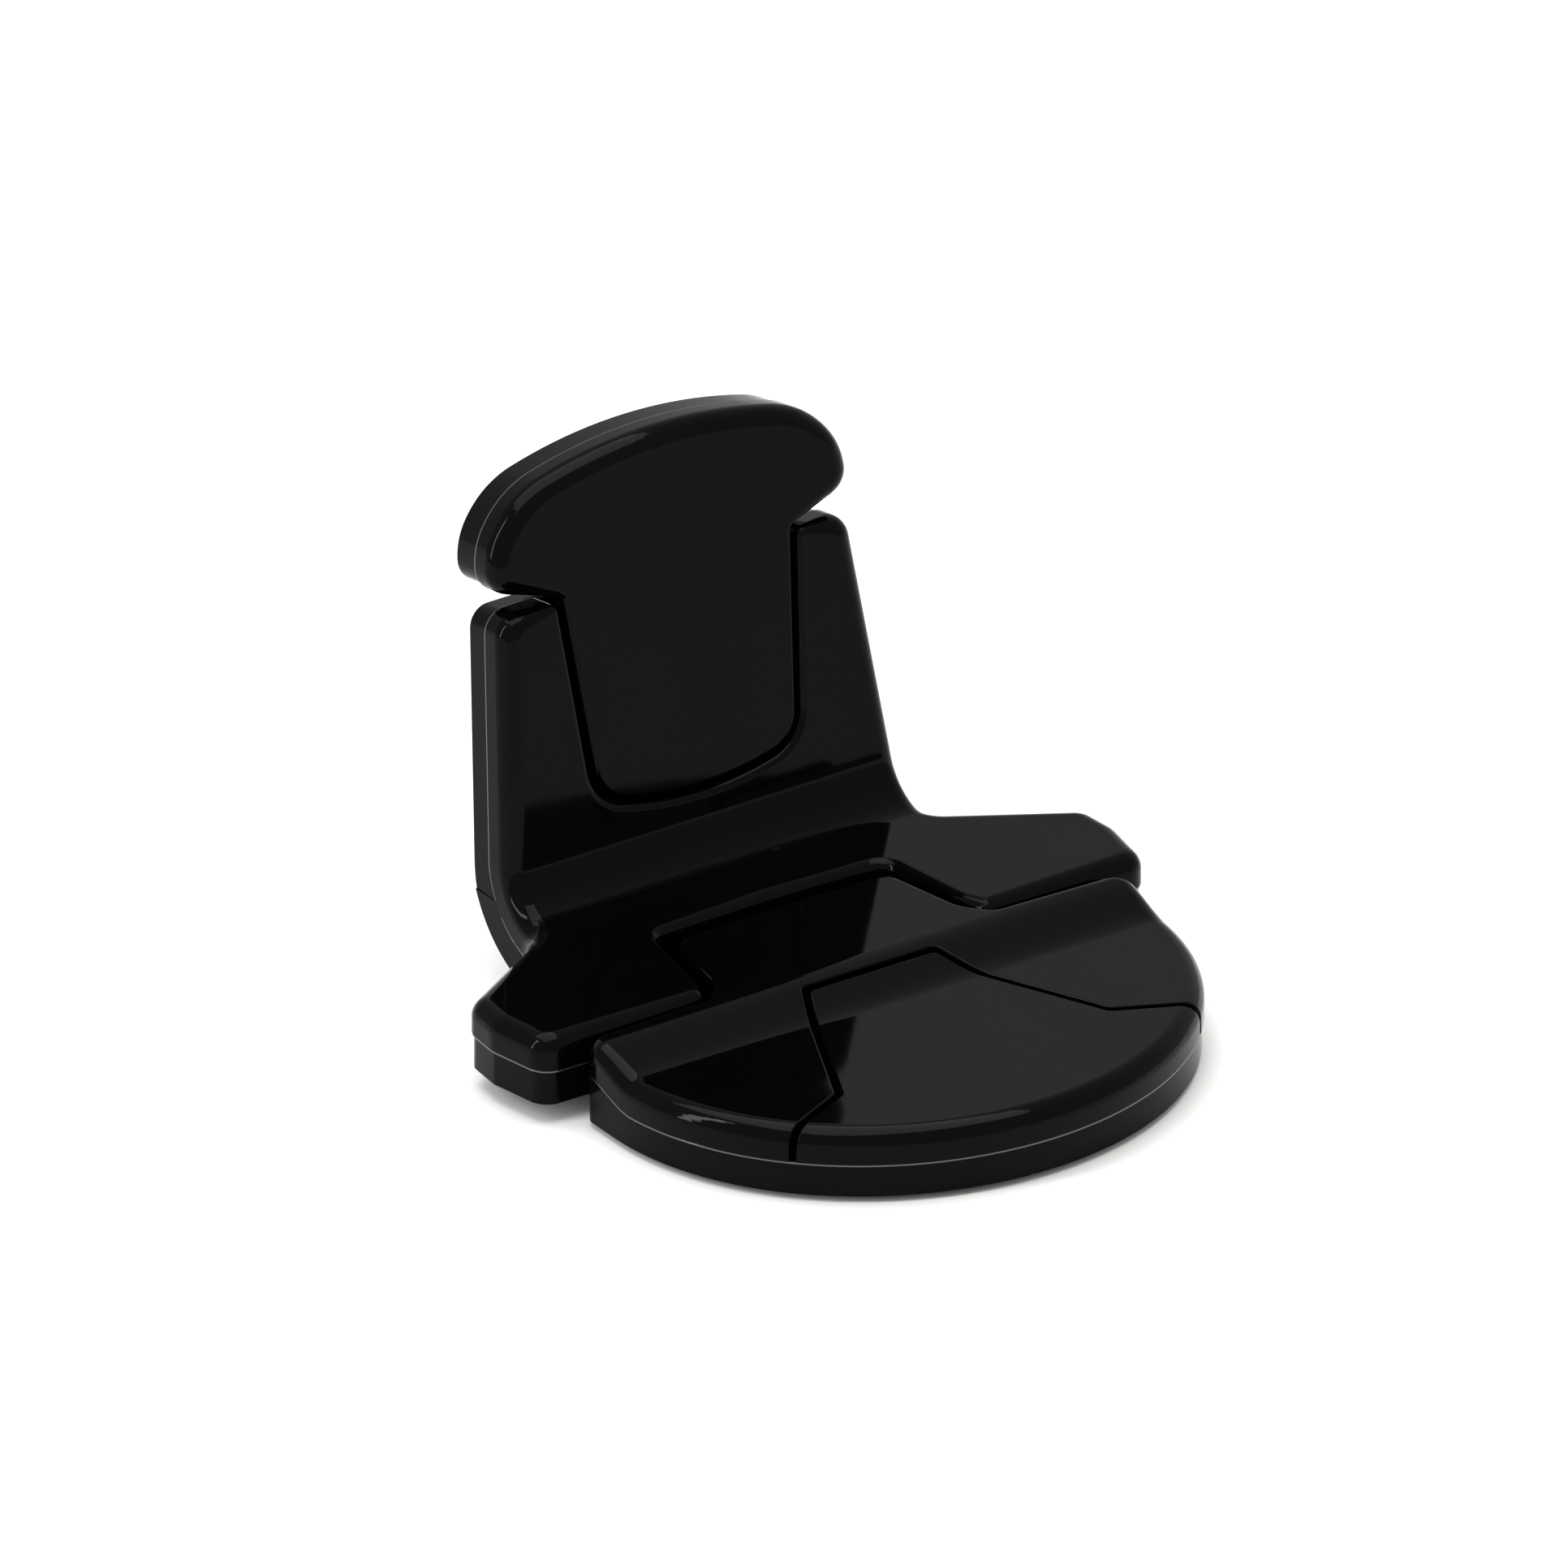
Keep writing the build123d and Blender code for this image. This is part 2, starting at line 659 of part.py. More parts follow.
def main():
    os.makedirs("parts", exist_ok=True)
    write(make_lower_cover().part, "lower_cover")
    write(make_lower_shell().part, "lower_shell")
    for side, name in ((-1, "left"), (1, "right")):
        write(make_back_rail(side).part, f"back_rail_{name}")
        write(make_seat_rail(side).part, f"seat_rail_{name}")
    write(make_back_stop_pin().part, "back_stop_pin")
    write(make_back_friction_felt().part, "back_friction_felt")
    write(make_base_plate().part, "base_plate")
    write(make_seat_stop_pin().part, "seat_stop_pin")
    write(make_seat_friction_felt().part, "seat_friction_felt")
    for name, (x, forward, height, radius) in FEET.items():
        write(make_foot(x, forward, height, radius).part, name)

    write(make_head_cover().part, "head_cover")
    write(make_head_shell().part, "head_shell")
    write(make_head_carriage().part, "head_carriage")

    write(make_tray_rear_cover().part, "tray_rear_cover")
    write(make_tray_front_cover().part, "tray_front_cover")
    write(make_tray_shell().part, "tray_shell")
    write(make_tray_carriage().part, "tray_carriage")

    write(screws("seat_cover_screws", seat_under, COVER_SCREWS_SEAT, 7.4), "seat_cover_screws")
    write(screws("back_cover_screws", back_rear, COVER_SCREWS_BACK, 5.4), "back_cover_screws")
    write(screws("back_rail_screws", back_rear, RAIL_SCREWS_BACK, 3.8), "back_rail_screws")
    write(screws("plate_screws", plate_under, PLATE_SCREWS, 5.3), "plate_screws")
    write(screws("seat_rail_screws", plate_under, RAIL_SCREWS_SEAT, 3.2), "seat_rail_screws")
    write(screws("head_screws", head_rear, HEAD_SCREWS, 7.4), "head_screws")
    write(
        screws("tray_screws", deck_under, TRAY_SCREWS, 3.8),
        "tray_screws",
    )


main()
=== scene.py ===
import json
import math

import bpy
import numpy as np
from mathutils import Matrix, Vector
from mathutils.geometry import delaunay_2d_cdt


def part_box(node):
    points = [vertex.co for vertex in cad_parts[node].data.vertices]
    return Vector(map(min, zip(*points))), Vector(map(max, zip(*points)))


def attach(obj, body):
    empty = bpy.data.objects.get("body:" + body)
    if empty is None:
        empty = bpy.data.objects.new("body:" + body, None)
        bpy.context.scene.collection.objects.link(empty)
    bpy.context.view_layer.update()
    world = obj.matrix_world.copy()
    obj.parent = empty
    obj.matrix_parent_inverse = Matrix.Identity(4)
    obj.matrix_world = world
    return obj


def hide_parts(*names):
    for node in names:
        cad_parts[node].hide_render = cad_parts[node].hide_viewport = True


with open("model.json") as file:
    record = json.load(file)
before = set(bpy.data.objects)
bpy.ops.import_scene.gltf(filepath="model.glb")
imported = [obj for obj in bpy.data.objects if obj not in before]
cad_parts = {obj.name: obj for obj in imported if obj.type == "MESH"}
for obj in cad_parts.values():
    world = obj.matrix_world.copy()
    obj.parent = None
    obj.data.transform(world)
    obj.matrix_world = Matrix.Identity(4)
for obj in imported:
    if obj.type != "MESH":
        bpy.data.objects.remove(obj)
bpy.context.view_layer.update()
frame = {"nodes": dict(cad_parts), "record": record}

# ---------------------------------------------------------------- driving dimensions, mm
MM = 0.001
RECLINE = math.radians(10.0)
COVER = 5.0              # thickness of every cover
BACK_LINE = -18.3        # where the back's face meets the seat plane, ahead of the datum
WING_HALF = 51.3         # half width over the wings
WING_FRONT = 14.9        # front edge of the wings, ahead of the datum
BEND_HALF = 32.4         # half width of the back at the bend
BACK_TAPER = 0.095       # narrowing of each side of the back for each mm of height
BEND_RADIUS = 7.2        # concave bend between seat and back
SHOULDER_H = 41.6        # heights up the recline: top of the fixed back
HEAD_TOP_H = 61.7        # middle of the crown
HEAD_HALF = 29.2         # half width over the lobes
HEAD_LOW_H = 42.3        # underside of the head
CROWN_R = 76.0           # radius of the crown
TONGUE_LOW_H = 10.2      # lowest point of the tongue
TONGUE_HALF = 18.7       # half width of the tongue at the head
TONGUE_FOOT = 16.3       # half width above its lower corners
TONGUE_R = 50.0          # radius of its lower edge
TONGUE_COVER = 3.0       # thickness of the cover along the tongue
NOTCH_GAP = 0.9          # gap round the tongue
TRAY_HALF = 44.4         # half width of the tray
TRAY_FRONT = 65.1        # distances ahead of the datum: front of the tray
TRAY_SHOULDER = 16.1     # rear edge of the tray beside its tongue
TRAY_REAR = -1.1         # rear end of the tray's tongue
TRAY_DROP = 2.4          # drop of the tray's front below the seat
RAMP_START = 17.3        # where the drop starts
RAMP_END = 28.3          # and where it ends
GROOVE = 1.0             # width of the groove between the tray's covers

RIM = 2.7                # rounding along the outer edges of the covers
LIP = 0.12               # rounding at the lower edge of a moulding
GROOVE_ROUND = 0.25      # rounding along the groove
SEAM = 0.3               # height of the lip along the parting lines, bright partly from the lamps on its rounded edge and partly from a painted highlight in its lighter colour
SEAM_OUT = 0.08          # how far that lip stays inside the cover's edge
SEAM_WIDE = 0.8          # its width
SEAM_ROUND = 0.05        # rounding of its upper edge

# ---------------------------------------------------------------- fineness of the mouldings
ARC_STEP = math.radians(4.0)
RINGS = 10               # steps of the quarter circle of a rim
LIP_STEPS = 4            # steps of the quarter circle of a lower edge
ON_LOOP = 0.01           # mm from a loop within which its own normal gives the direction
SLIVER = 1e-7            # triangles of less than half this area are dropped, mm2
SMOOTH_TURN = math.cos(math.radians(32))       # walls that turn by less are shaded as one curve

# the plan datum and the seat's height come from the frame
datum_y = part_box("lower_cover")[0].y / MM + WING_FRONT
seat_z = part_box("tray_rear_cover")[1].z / MM
back_y = datum_y - BACK_LINE


# ---------------------------------------------------------------- outlines
def fillet_path(corners):
    """Points along a closed path of corners (x, v, corner radius, rim radius): arcs at the corners.

    Gives an array of x, v and rim radius.
    """
    out = []
    n = len(corners)
    for i, (x, v, radius, rim) in enumerate(corners):
        here = np.array([x, v])
        to_last = np.array(corners[i - 1][:2]) - here
        to_next = np.array(corners[(i + 1) % n][:2]) - here
        a = to_last / np.linalg.norm(to_last)
        b = to_next / np.linalg.norm(to_next)
        turn = math.pi - math.acos(max(-1.0, min(1.0, float(a @ b))))
        if radius <= 0 or turn < 0.01:
            out.append((x, v, rim))
            continue
        reach = radius * math.tan(turn / 2)
        limit = 0.49 * min(np.linalg.norm(to_last), np.linalg.norm(to_next))
        if reach > limit:
            radius *= limit / reach
            reach = limit
        middle = (a + b) / np.linalg.norm(a + b)
        centre = here + middle * radius / math.cos(turn / 2)
        first = here + a * reach - centre
        start = math.atan2(first[1], first[0])
        sign = 1.0 if a[0] * b[1] - a[1] * b[0] < 0 else -1.0
        steps = max(3, math.ceil(turn / ARC_STEP))
        for k in range(steps + 1):
            angle = start + sign * turn * k / steps
            out.append((centre[0] + radius * math.cos(angle), centre[1] + radius * math.sin(angle), rim))
    return np.array(out)


def spaced(path, longest=1.2):
    """The closed path with its long runs divided, and its rim radius eased along the way."""
    out = []
    for p, q in zip(path, np.roll(path, -1, axis=0)):
        pieces = max(1, math.ceil(np.hypot(*(q - p)[:2]) / longest))
        out += [p + (q - p) * k / pieces for k in range(pieces)]
    out = np.array(out)
    keep = np.hypot(*(out - np.roll(out, 1, axis=0))[:, :2].T) > 0.02
    out = out[keep]
    for _ in range(6):
        out[:, 2] = (np.roll(out[:, 2], 1) + 2 * out[:, 2] + np.roll(out[:, 2], -1)) / 4
    return out


def tangent_arc(start, end, direction):
    """Points of the arc from start to end that leaves start in this direction, and its last direction."""
    p, q = np.array(start, float), np.array(end, float)
    t = np.array(direction, float) / np.linalg.norm(direction)
    chord = q - p
    normal = np.array([-t[1], t[0]])
    radius = (chord @ chord) / (2 * (chord @ normal))
    centre = p + normal * radius
    half = math.atan2(chord @ normal, chord @ t)
    sweep = 2 * half
    steps = max(4, math.ceil(abs(sweep) / math.radians(2.5)))
    points = []
    for k in range(steps + 1):
        angle = sweep * k / steps
        offset = p - centre
        points.append(centre + np.array([
            offset[0] * math.cos(angle) - offset[1] * math.sin(angle),
            offset[0] * math.sin(angle) + offset[1] * math.cos(angle),
        ]))
    last = np.array([
        t[0] * math.cos(sweep) - t[1] * math.sin(sweep),
        t[0] * math.sin(sweep) + t[1] * math.cos(sweep),
    ])
    return points, last


def mirrored(half):
    """A closed list of corners from its right half, whose first and last corners lie on the middle line."""
    return half + [(-c[0], *c[1:]) for c in reversed(half[1:-1])]


# The bent cover is laid out flat: v runs back along the seat, round the bend and up the back.
BEND_TURN = math.pi / 2 - RECLINE
BEND_TANGENT = BEND_RADIUS * math.tan(BEND_TURN / 2)
BEND_START = -BACK_LINE - BEND_TANGENT
BEND_END = BEND_START + BEND_RADIUS * BEND_TURN


def up_back(height):
    """Place along the laid-out cover of a height up the recline."""
    return BEND_END + height - BEND_TANGENT


def tongue_foot(grow):
    """Half of the tongue's lower edge and its corner, from the middle outwards; grown, it is the notch's."""
    low = TONGUE_LOW_H - grow
    reach = TONGUE_R + grow
    bottom = []
    for k in range(9):
        angle = math.radians(14 * k / 8)
        bottom.append(np.array([reach * math.sin(angle), low + reach * (1 - math.cos(angle))]))
    direction = (math.cos(math.radians(14)), math.sin(math.radians(14)))
    corner, direction = tangent_arc(bottom[-1], (TONGUE_FOOT + grow, TONGUE_LOW_H + 6.35), direction)
    return [(float(p[0]), float(p[1])) for p in bottom + corner[1:]]


def lower_corners():
    """Laid-out outline of the fixed seat and back, with both of its notches."""
    side = BEND_HALF - BACK_TAPER * BEND_TANGENT
    half = [
        (0.0, 4.5, 0, 2.0),
        (18.9, 3.7, 2.4, 1.6),
        (21.5, -11.0, 6.0, 1.3),
        (22.9, -WING_FRONT, 1.6, 2.0),
        (WING_HALF - 1.8, -WING_FRONT, 3.6, RIM),
        (WING_HALF, -5.0, 6.0, RIM),
        (WING_HALF - 0.6, 1.6, 3.8, RIM),
        (BEND_HALF, 12.5, 4.2, RIM),
        (side, up_back(BEND_TANGENT), 30.0, RIM),
        (BEND_HALF - BACK_TAPER * SHOULDER_H, up_back(SHOULDER_H), 3.7, RIM),
        (TONGUE_HALF + NOTCH_GAP, up_back(SHOULDER_H), 1.3, 0.9),
    ]
    half += [(x, up_back(h), 0, 1.2) for x, h in reversed(tongue_foot(NOTCH_GAP))]
    return mirrored(half)


def head_corners(with_tongue=True):
    """Outline of the head, with or without its tongue, in the plane of the back."""
    crown, run = [], 14.5
    for k in range(13):
        angle = math.radians(90 - run * k / 12)
        crown.append(np.array([CROWN_R * math.cos(angle), HEAD_TOP_H - CROWN_R + CROWN_R * math.sin(angle)]))
    direction = (math.sin(math.radians(90 - run)), -math.cos(math.radians(90 - run)))
    turn, direction = tangent_arc(crown[-1], (HEAD_HALF - 1.9, HEAD_TOP_H - 8.1), direction)
    side, direction = tangent_arc(turn[-1], (HEAD_HALF, HEAD_TOP_H - 13.5), direction)
    lobe, direction = tangent_arc(side[-1], (HEAD_HALF - 3.0, HEAD_LOW_H + 1.9), direction)
    rim_points = crown + turn[1:] + side[1:] + lobe[1:]
    half = [(float(p[0]), float(p[1]), 0, RIM) for p in rim_points]
    if with_tongue:
        half.append((TONGUE_HALF, HEAD_LOW_H, 1.2, 0.7))
        half += [(x, h, 0, 0.5) for x, h in reversed(tongue_foot(0.0))]
    else:
        half += [(TONGUE_HALF, HEAD_LOW_H, 2.0, RIM), (0.0, HEAD_LOW_H, 0, RIM)]
    return mirrored(half)


def tray_corners():
    """Plan of the tray; v is minus the distance ahead of the datum."""
    side, direction = tangent_arc((TRAY_HALF, -24.0), (32.7, -52.0), (0, -1))
    corner, direction = tangent_arc(side[-1], (16.0, -62.4), direction)
    front, direction = tangent_arc(corner[-1], (0, -TRAY_FRONT), direction)
    half = [
        (0.0, -TRAY_REAR, 0, 1.2),
        (17.6, -TRAY_REAR - 0.4, 2.8, 1.2),
        (20.2, -13.0, 5.0, 1.0),
        (23.5, -TRAY_SHOULDER, 3.0, 1.4),
        (TRAY_HALF, -TRAY_SHOULDER, 3.6, 2.2),
    ]
    half += [(float(p[0]), float(p[1]), 0, RIM) for p in side + corner[1:] + front[1:]]
    return mirrored(half)


def insert_corners(grow):
    """Plan of the tray's front cover, grown or shrunk by half the groove, running past the front edge."""
    half = [
        (0.0, -20.7 + grow, 0, 0),
        (10.6 + grow * 0.64, -20.7 + grow, 1.2, 0),
        (22.2 + grow * 0.72, -45.9 + grow * 0.8, 1.2, 0),
        (48.0 + grow * 0.3, -58.2 + grow, 0, 0),
        (48.0 + grow * 0.3, -TRAY_FRONT - 5, 0, 0),
        (0.0, -TRAY_FRONT - 5, 0, 0),
    ]
    return mirrored(half)


# ---------------------------------------------------------------- places in the frame
def bent_place(points, depth):
    """Laid-out points at these depths behind the surface, in the frame: places and turns of the normal."""
    x, v = points[:, 0], points[:, 1]
    turn = np.clip((v - BEND_START) / BEND_RADIUS, 0, BEND_TURN)
    ahead_y = datum_y + np.minimum(v, BEND_START)
    climb = np.maximum(v - BEND_END, 0)
    centre_y, centre_z = datum_y + BEND_START, seat_z + BEND_RADIUS
    on_bend = v > BEND_START
    reach = BEND_RADIUS + depth
    y = np.where(on_bend, centre_y + reach * np.sin(turn) + climb * math.sin(RECLINE), ahead_y)
    z = np.where(on_bend, centre_z - reach * np.cos(turn) + climb * math.cos(RECLINE), seat_z - depth)
    return np.stack([x, y, z], 1), turn


def back_place(points, depth):
    """Points in the plane of the back, x across and height up the recline."""
    h = points[:, 1]
    y = back_y + h * math.sin(RECLINE) + depth * math.cos(RECLINE)
    z = seat_z + h * math.cos(RECLINE) - depth * math.sin(RECLINE)
    return np.stack([points[:, 0], y, z], 1), np.full(len(points), BEND_TURN)


def tray_drop(v):
    """How far the tray's top lies below the seat, and the slope of that, at minus the distance ahead."""
    t = np.clip((-v - RAMP_START) / (RAMP_END - RAMP_START), 0, 1)
    return TRAY_DROP * t * t * (3 - 2 * t), TRAY_DROP * 6 * t * (1 - t) / (RAMP_END - RAMP_START)


def tray_place(points, depth):
    """Points of the tray's plan under its ramped top."""
    drop, slope = tray_drop(points[:, 1])
    y = datum_y + points[:, 1]
    return np.stack([points[:, 0], y, seat_z - drop - depth], 1), np.arctan(slope)


# ---------------------------------------------------------------- moulded pieces
def unit(vectors):
    """Plane vectors brought to length 1; those of no length stay as they are."""
    return vectors / np.maximum(np.hypot(vectors[:, 0], vectors[:, 1]), 1e-9)[:, None]


def nearest(points, loop, side=1.0):
    """Distance of each point to a closed loop, the direction towards it, and the loop's value there.

    On the loop itself the direction is its outward normal, or its inward one with side -1.
    """
    a = loop[:, :2]
    b = np.roll(a, -1, axis=0)
    ab = b - a
    length = (ab * ab).sum(1)
    batch = 2000
    distance = np.zeros(len(points))
    spot = np.zeros((len(points), 2))
    own_side = np.zeros((len(points), 2))
    normal_a = loop_normals(loop) * side
    normal_b = np.roll(normal_a, -1, axis=0)
    value = np.zeros(len(points))
    rim_a, rim_b = loop[:, 2], np.roll(loop[:, 2], -1)
    for lo in range(0, len(points), batch):
        part = slice(lo, lo + batch)
        p = points[part]
        t = np.clip(((p[:, None] - a) * ab).sum(2) / length, 0, 1)
        foot = a + t[:, :, None] * ab
        gap = np.hypot(*(p[:, None] - foot).transpose(2, 0, 1))
        best = gap.argmin(1)
        rows = np.arange(len(p))
        distance[part] = gap[rows, best]
        spot[part] = foot[rows, best]
        share = t[rows, best]
        value[part] = rim_a[best] + share * (rim_b - rim_a)[best]
        own_side[part] = normal_a[best] + share[:, None] * (normal_b - normal_a)[best]
    out = spot - points
    return distance, unit(np.where(distance[:, None] < ON_LOOP, own_side, out)), value


def inside(points, loop):
    """Whether each point lies inside the closed loop."""
    a = loop[:, :2]
    b = np.roll(a, -1, axis=0)
    x, y = points[:, 0][:, None], points[:, 1][:, None]
    spans = (a[:, 1] > y) != (b[:, 1] > y)
    rise = np.where(b[:, 1] == a[:, 1], 1e-12, b[:, 1] - a[:, 1])
    cross = a[:, 0] + (y - a[:, 1]) * (b[:, 0] - a[:, 0]) / rise
    return ((x < cross) & spans).sum(1) % 2 == 1


def loop_normals(loop):
    """Outward direction at each point of a loop, whichever way round it runs."""
    p = loop[:, :2]
    along = unit(np.roll(p, -1, axis=0) - np.roll(p, 1, axis=0))
    q = np.roll(p, -1, axis=0)
    area = (p[:, 0] * q[:, 1] - q[:, 0] * p[:, 1]).sum()
    sign = 1.0 if area > 0 else -1.0
    return np.stack([along[:, 1], -along[:, 0]], 1) * sign


def inset_loop(loop, by):
    """The loop moved inward, without the points that would fold over; by is one number or one for each."""
    moved = loop[:, :2] - loop_normals(loop) * np.reshape(by, (-1, 1))
    distance, _, _ = nearest(moved, loop)
    keep = (distance > np.ravel(by) - 0.02) & inside(moved, loop)
    return np.column_stack([moved, loop[:, 2]])[keep]


def rim_shape(distance, radius):
    """Depth of a rounded rim at this distance from the edge, and its slope there."""
    radius = np.maximum(radius, 1e-6)
    left = np.clip(radius - distance, 0, radius)
    height = np.sqrt(np.maximum(radius * radius - left * left, 0))
    return radius - height, left / np.maximum(height, radius * 0.01)


def triangles(loops, lines):
    """Triangulation of the plane that keeps every loop and every line as edges."""
    points, edges = [], []
    for loop in loops:
        first = len(points)
        points += [Vector(p[:2]) for p in loop]
        edges += [(first + k, first + (k + 1) % len(loop)) for k in range(len(loop))]
    for p, q in lines:
        points += [Vector(p), Vector(q)]
        edges.append((len(points) - 2, len(points) - 1))
    made = delaunay_2d_cdt(points, edges, [], 0, 1e-5)
    return np.array([tuple(p) for p in made[0]]), np.array([tuple(f) for f in made[2]], int)


def side_chains(faces):
    """The open edges of a set of triangles, joined into closed chains of point numbers."""
    seen = {}
    for f in faces:
        for a, b in ((f[0], f[1]), (f[1], f[2]), (f[2], f[0])):
            seen[(a, b)] = True
    following = {a: b for a, b in seen if (b, a) not in seen}
    chains = []
    while following:
        start = next(iter(following))
        chain, here = [], start
        while here in following:
            chain.append(here)
            here = following.pop(here)
        chains.append(chain)
    return chains


def facing(points, faces, up):
    """The triangles without slivers, all wound to face up (1) or down (-1), and only the points they use."""
    corner = points[faces]
    ab, ac = corner[:, 1] - corner[:, 0], corner[:, 2] - corner[:, 0]
    area = ab[:, 0] * ac[:, 1] - ab[:, 1] * ac[:, 0]
    solid = np.abs(area) > SLIVER
    faces, area = faces[solid], area[solid]
    wrong = area * up < 0
    faces[wrong] = faces[wrong][:, ::-1]
    numbers = np.unique(faces)
    renumber = np.full(len(points), -1)
    renumber[numbers] = np.arange(len(numbers))
    return points[numbers], renumber[faces]


def top_plan(outline, keep, lines, edge_loops, cavity):
    """Triangulated plan of a piece, with the rings of its rounded rim and of its other rounded edges."""
    loops = [outline]
    for k in range(1, RINGS + 1):
        share = 1 - math.cos(math.pi / 2 * k / RINGS)
        loops.append(inset_loop(outline, outline[:, 2] * share))
    if cavity is not None:
        loops.append(cavity)
    for loop, _ in edge_loops:
        loops.append(loop)
        for share in (0.3, 0.65, 1.0):
            for sign in (-1, 1):
                moved = loop[:, :2] + sign * loop_normals(loop) * GROOVE_ROUND * share
                loops.append(np.column_stack([moved, loop[:, 2]]))
    points, faces = triangles(loops, lines)
    centres = points[faces].mean(1)
    used = inside(centres, outline)
    if keep is not None:
        used &= keep(centres)
    if cavity is not None:
        used &= ~inside(centres, cavity)
    return facing(points, faces[used], 1)


def under_plan(rings, lines):
    """Triangulated plan of a piece's underside, between the lowest rings of its walls."""
    points, faces = triangles(rings, lines)
    centres = points[faces].mean(1)
    used = sum(inside(centres, ring).astype(int) for ring in rings)
    return facing(points, faces[used % 2 == 1], -1)


def top_relief(points, outline, thickness, edge_loops):
    """Depth and normal of the top at each point of its plan."""
    distance, outward, radius = nearest(points, outline)
    depth, slope = rim_shape(distance, radius)
    gradient = outward * slope[:, None]
    for loop, side in edge_loops:
        gap, towards, _ = nearest(points, loop, side)
        more, steep = rim_shape(gap, np.full(len(points), GROOVE_ROUND))
        depth = np.minimum(depth + more, thickness(points) - 2 * LIP)
        gradient = gradient + towards * steep[:, None]
    normal = np.column_stack([gradient, np.ones(len(points))])
    return depth, normal / np.linalg.norm(normal, axis=1)[:, None]


def wall_directions(ring):
    """Outward directions along an open edge: eased at each point, and at both ends of each stretch of wall."""
    ahead = unit(np.roll(ring, -1, axis=0) - ring)
    face_out = np.column_stack([ahead[:, 1], -ahead[:, 0]])
    before = np.roll(face_out, 1, axis=0)
    smooth = (face_out * before).sum(1) > SMOOTH_TURN
    eased = unit(face_out + before)
    at_start = np.where(smooth[:, None], eased, face_out)
    at_end = np.where(np.roll(smooth, -1)[:, None], np.roll(eased, -1, axis=0), face_out)
    return eased, at_start, at_end


def tilted(direction, tilt):
    """Normal that leans below a level direction by this angle."""
    return np.array([*(direction * math.cos(tilt)), -math.sin(tilt)])


def moulding(name, outline, place, thickness, keep=None, cuts=(), edge_loops=(), cavity=None):
    """A closed moulded piece: a top with a rounded rim, a wall, a rounded lower edge and an underside.

    thickness is a function of the plan's points. keep chooses the part of the plan that the piece covers, and
    cuts are the v where the surface bends or the thickness steps. edge_loops are extra edges across the plan,
    rounded alike: each comes with 1 if its inside is kept or -1 if its outside is. cavity is the
    outline of an opening right through.
    """
    low_v, high_v = outline[:, 1].min(), outline[:, 1].max()
    wide = np.abs(outline[:, 0]).max() + 2
    lines = [((-wide, v), (wide, v)) for v in cuts if low_v < v < high_v]
    points, top_faces = top_plan(outline, keep, lines, edge_loops, cavity)
    depth, normal = top_relief(points, outline, thickness, edge_loops)

    all_points, all_depth = [points], [depth]
    all_faces = [tuple(f) for f in top_faces]
    corner_normals = [[normal[i] for i in f] for f in top_faces]
    total = len(points)
    low_rings = []
    for chain in side_chains(top_faces):
        ring = points[chain]
        eased, at_start, at_end = wall_directions(ring)
        bottom = thickness(ring)
        row_above, tilt_above = np.array(chain), 0.0
        for k in range(LIP_STEPS + 1):
            tilt = math.pi / 2 * k / LIP_STEPS
            all_points.append(ring - eased * LIP * (1 - math.cos(tilt)))
            all_depth.append(bottom - LIP * (1 - math.sin(tilt)))
            row = total + np.arange(len(chain))
            total += len(chain)
            for i in range(len(chain)):
                j = (i + 1) % len(chain)
                all_faces.append((row_above[j], row_above[i], row[i], row[j]))
                corner_normals.append([
                    tilted(at_end[i], tilt_above),
                    tilted(at_start[i], tilt_above),
                    tilted(at_start[i], tilt),
                    tilted(at_end[i], tilt),
                ])
            row_above, tilt_above = row, tilt
        low_rings.append(np.column_stack([all_points[-1], np.zeros(len(chain))]))

    under, under_faces = under_plan(low_rings, lines)
    all_points.append(under)
    all_depth.append(thickness(under))
    all_faces += [tuple(total + f) for f in under_faces]
    corner_normals += [[np.array([0.0, 0.0, -1.0])] * 3] * len(under_faces)

    places, turns = place(np.concatenate(all_points), np.concatenate(all_depth))
    return build_mesh(name, places, turns, all_faces, corner_normals)


def build_mesh(name, places, turns, faces, corner_normals):
    """Mesh object from points in mm, with the laid-out normals turned about X by each point's angle."""
    mesh = bpy.data.meshes.new(name)
    mesh.from_pydata((places * MM).tolist(), [], [tuple(int(i) for i in f) for f in faces])
    order = np.concatenate([np.array(f, int) for f in faces])
    n = np.concatenate([np.array(c, float) for c in corner_normals])
    cos, sin = np.cos(turns[order]), np.sin(turns[order])
    turned = np.column_stack([n[:, 0], n[:, 1] * cos - n[:, 2] * sin, n[:, 1] * sin + n[:, 2] * cos])
    mesh.polygons.foreach_set("use_smooth", [True] * len(mesh.polygons))
    mesh.normals_split_custom_set([tuple(v) for v in turned])
    mesh.update()
    obj = bpy.data.objects.new(name, mesh)
    bpy.context.scene.collection.objects.link(obj)
    weld(obj)
    return obj


def weld(obj):
    """Joins points that lie on each other, so that the piece is closed."""
    modifier = obj.modifiers.new("weld", "WELD")
    modifier.merge_threshold = 2e-6


